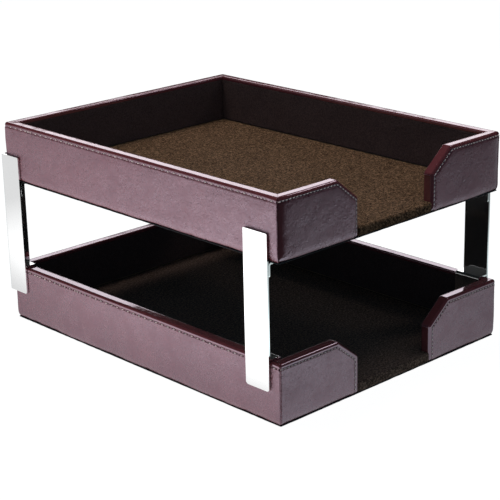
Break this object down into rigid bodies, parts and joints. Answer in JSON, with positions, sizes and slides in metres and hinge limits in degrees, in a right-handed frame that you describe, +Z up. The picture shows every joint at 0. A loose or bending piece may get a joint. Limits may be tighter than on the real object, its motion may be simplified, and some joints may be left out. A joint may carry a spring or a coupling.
{
  "type": "letter tray",
  "caption": "Two-tier desk tray for letters: leather-covered trays with a suede lining and a cut-out front, stacked on polished metal corner posts.",
  "frame": {"origin": "middle of the lower tray's underside, where it rests on the desk", "axes": "+Y from the open front to the back, the trays' long side; +X across to the right seen from the front; +Z up"},
  "size_m": [0.264, 0.3455, 0.1818],
  "materials": {
    "burgundy_leather": "smooth semi-gloss leather, dark burgundy brown, with tonal stitching along the edges",
    "brown_suede": "matt dark brown suede with a short nap",
    "black_felt": "matt black felt",
    "fibreboard": "raw sanded fibreboard",
    "polished_steel": "mirror-polished bright metal"
  },
  "bodies": {
    "lower_tray": {"lower_underside_felt": "black_felt", "lower_base_board": "fibreboard", "lower_rear_wall_board": "fibreboard", "lower_rear_wall_leather": "burgundy_leather", "lower_rear_wall_lining": "brown_suede", "lower_floor_lining": "brown_suede", "lower_left_wall_board": "fibreboard", "lower_left_wall_leather": "burgundy_leather", "lower_left_wall_lining": "brown_suede", "lower_left_wing_board": "fibreboard", "lower_left_wing_leather": "burgundy_leather", "lower_left_wing_lining": "brown_suede", "lower_right_wall_board": "fibreboard", "lower_right_wall_leather": "burgundy_leather", "lower_right_wall_lining": "brown_suede", "lower_right_wing_board": "fibreboard", "lower_right_wing_leather": "burgundy_leather", "lower_right_wing_lining": "brown_suede"},
    "front_left_post": {"front_left_post_strip": "polished_steel", "front_left_post_hook": "polished_steel", "front_left_post_shelf": "polished_steel"},
    "rear_left_post": {"rear_left_post_angle": "polished_steel", "rear_left_post_hook": "polished_steel", "rear_left_post_shelf": "polished_steel"},
    "front_right_post": {"front_right_post_strip": "polished_steel", "front_right_post_hook": "polished_steel", "front_right_post_shelf": "polished_steel"},
    "rear_right_post": {"rear_right_post_angle": "polished_steel", "rear_right_post_hook": "polished_steel", "rear_right_post_shelf": "polished_steel"},
    "upper_tray": {"upper_underside_felt": "black_felt", "upper_base_board": "fibreboard", "upper_rear_wall_board": "fibreboard", "upper_rear_wall_leather": "burgundy_leather", "upper_rear_wall_lining": "brown_suede", "upper_floor_lining": "brown_suede", "upper_left_wall_board": "fibreboard", "upper_left_wall_leather": "burgundy_leather", "upper_left_wall_lining": "brown_suede", "upper_left_wing_board": "fibreboard", "upper_left_wing_leather": "burgundy_leather", "upper_left_wing_lining": "brown_suede", "upper_right_wall_board": "fibreboard", "upper_right_wall_leather": "burgundy_leather", "upper_right_wall_lining": "brown_suede", "upper_right_wing_board": "fibreboard", "upper_right_wing_leather": "burgundy_leather", "upper_right_wing_lining": "brown_suede"}
  },
  "joints": [
    {"name": "front_left_post_lift", "type": "slide", "parent": "lower_tray", "child": "front_left_post", "axis": [0, 0, 1], "range_m": [0, 0.035]},
    {"name": "rear_left_post_lift", "type": "slide", "parent": "lower_tray", "child": "rear_left_post", "axis": [0, 0, 1], "range_m": [0, 0.035]},
    {"name": "front_right_post_lift", "type": "slide", "parent": "lower_tray", "child": "front_right_post", "axis": [0, 0, 1], "range_m": [0, 0.035]},
    {"name": "rear_right_post_lift", "type": "slide", "parent": "lower_tray", "child": "rear_right_post", "axis": [0, 0, 1], "range_m": [0, 0.035]},
    {"name": "upper_tray_lift", "type": "slide", "parent": "front_left_post", "child": "upper_tray", "axis": [0, 0, 1], "range_m": [0, 0.04]}
  ],
  "couplings": [
    {"joint": "rear_left_post_lift", "follows": "front_left_post_lift", "ratio": 1},
    {"joint": "front_right_post_lift", "follows": "front_left_post_lift", "ratio": 1},
    {"joint": "rear_right_post_lift", "follows": "front_left_post_lift", "ratio": 1}
  ]
}
